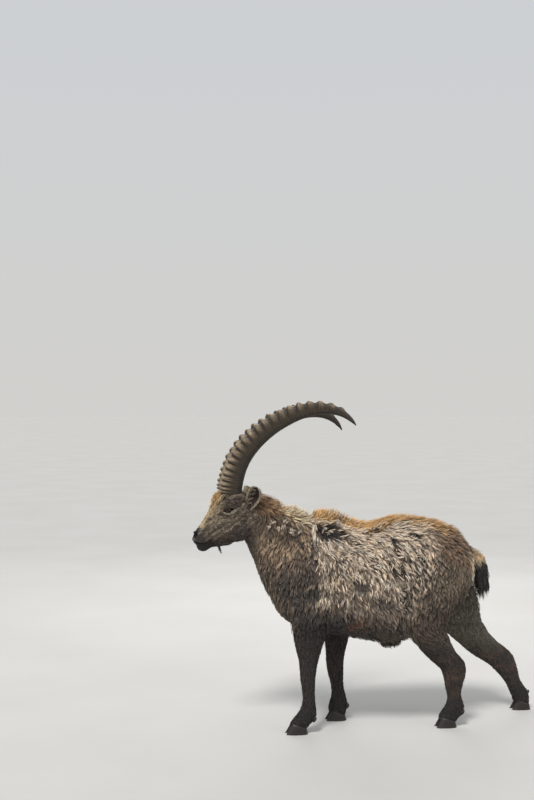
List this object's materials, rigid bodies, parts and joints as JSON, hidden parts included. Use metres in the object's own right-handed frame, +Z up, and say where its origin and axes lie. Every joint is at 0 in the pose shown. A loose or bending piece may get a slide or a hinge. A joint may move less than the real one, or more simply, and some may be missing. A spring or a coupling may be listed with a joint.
{
  "type": "alpine ibex",
  "caption": "Life-size adult male alpine ibex standing in mid-stride, with long ridged horns curved back and a shaggy moulting coat.",
  "frame": {"origin": "middle of the bounding box's underside, on the floor between the four feet", "axes": "+Z up; -X towards the muzzle and +X towards the rump; +Y towards the animal's right side, so its left side faces -Y"},
  "size_m": [1.5142, 0.39, 1.3792],
  "materials": {
    "body_coat": "matte shaggy hair, beige to grey-brown, golden along the back",
    "face_coat": "matte short hair, tan forehead and dark muzzle",
    "leg_coat": "matte short hair, dark brown",
    "ear_coat": "matte short hair with a pale rim",
    "tail_coat": "matte tufted hair, cream above and black-brown at the tip",
    "horn": "satin ridged keratin, grey-brown",
    "hoof": "satin keratin, black-brown",
    "eye": "wet gloss, amber-brown iris with a dark level pupil"
  },
  "bodies": {
    "root": {"head": "face_coat", "neck": "body_coat", "torso": "body_coat", "tail": "tail_coat", "horn_left": "horn", "horn_right": "horn", "ear_left": "ear_coat", "ear_right": "ear_coat", "eye_left": "eye", "eye_right": "eye", "leg_fore_left": "leg_coat", "leg_fore_right": "leg_coat", "leg_hind_left": "leg_coat", "leg_hind_right": "leg_coat", "claw_fore_left_outer": "hoof", "dewclaw_fore_left_outer": "hoof", "claw_fore_left_inner": "hoof", "dewclaw_fore_left_inner": "hoof", "claw_fore_right_outer": "hoof", "dewclaw_fore_right_outer": "hoof", "claw_fore_right_inner": "hoof", "dewclaw_fore_right_inner": "hoof", "claw_hind_left_outer": "hoof", "dewclaw_hind_left_outer": "hoof", "claw_hind_left_inner": "hoof", "dewclaw_hind_left_inner": "hoof", "claw_hind_right_outer": "hoof", "dewclaw_hind_right_outer": "hoof", "claw_hind_right_inner": "hoof", "dewclaw_hind_right_inner": "hoof"}
  },
  "joints": []
}
